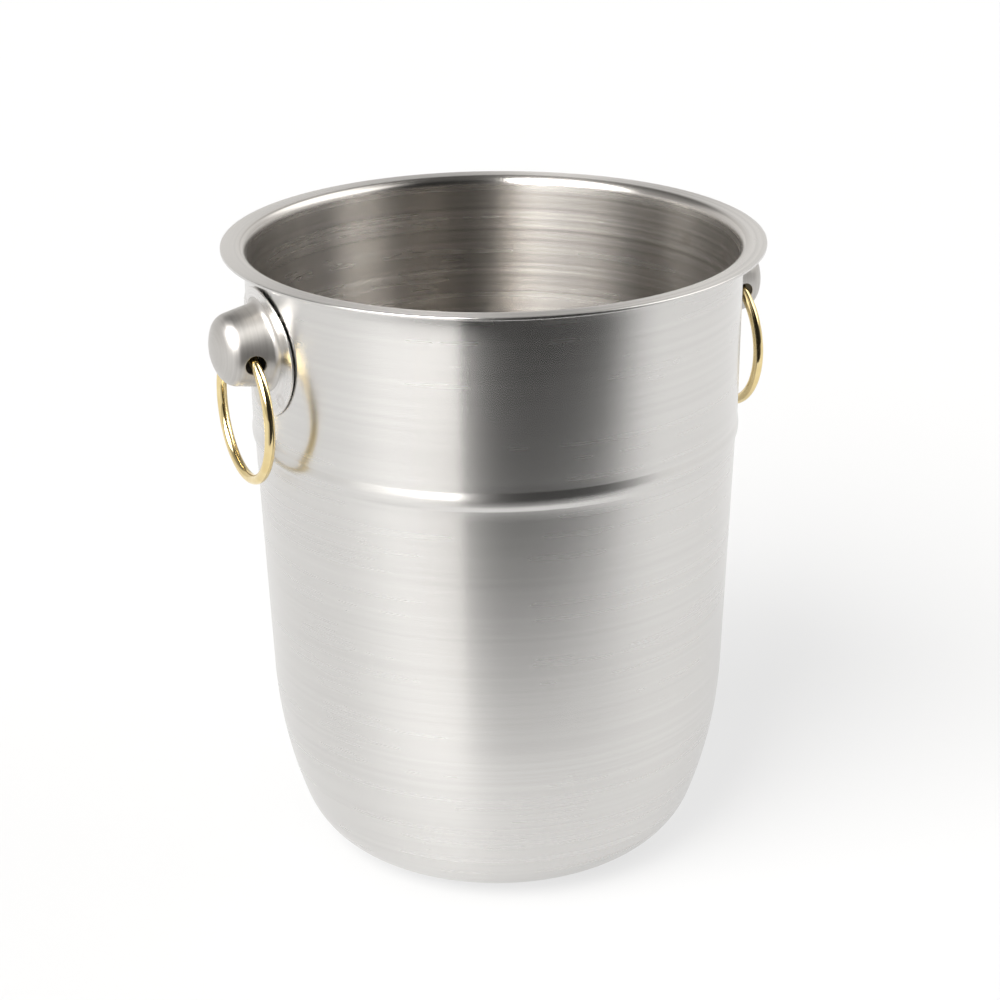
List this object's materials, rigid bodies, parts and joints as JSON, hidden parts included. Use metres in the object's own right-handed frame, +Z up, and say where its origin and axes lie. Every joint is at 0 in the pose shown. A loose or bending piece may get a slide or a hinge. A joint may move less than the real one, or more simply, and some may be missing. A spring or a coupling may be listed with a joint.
{
  "type": "champagne bucket",
  "caption": "Free-standing champagne bucket with a flat rim, a raised band and two knobs that each carry a hanging ring.",
  "frame": {"origin": "centre of the flat base, on the surface that the bucket stands on", "axes": "+Z up through the middle of the bucket, X through the two handles"},
  "size_m": [0.2324, 0.21, 0.25],
  "materials": {
    "brushed_shell": "fine brushing round the wall, satin",
    "satin_backplate": "satin polished",
    "satin_knob": "turned and satin polished",
    "weld": "dull weld",
    "brass_ring": "polished"
  },
  "bodies": {
    "bucket": {"bucket_shell": "brushed_shell", "left_backplate": "satin_backplate", "left_knob": "satin_knob", "left_spot_welds": "weld", "right_backplate": "satin_backplate", "right_knob": "satin_knob", "right_spot_welds": "weld"},
    "left_ring": {"left_ring": "brass_ring"},
    "right_ring": {"right_ring": "brass_ring"}
  },
  "joints": [
    {"name": "left_ring_swing", "type": "hinge", "parent": "bucket", "child": "left_ring", "pos_m": [-0.10394, 0, 0.21741], "axis": [0, 1, 0], "range_deg": [-8, 160]},
    {"name": "right_ring_swing", "type": "hinge", "parent": "bucket", "child": "right_ring", "pos_m": [0.10394, 0, 0.21741], "axis": [0, -1, 0], "range_deg": [-8, 160]}
  ]
}
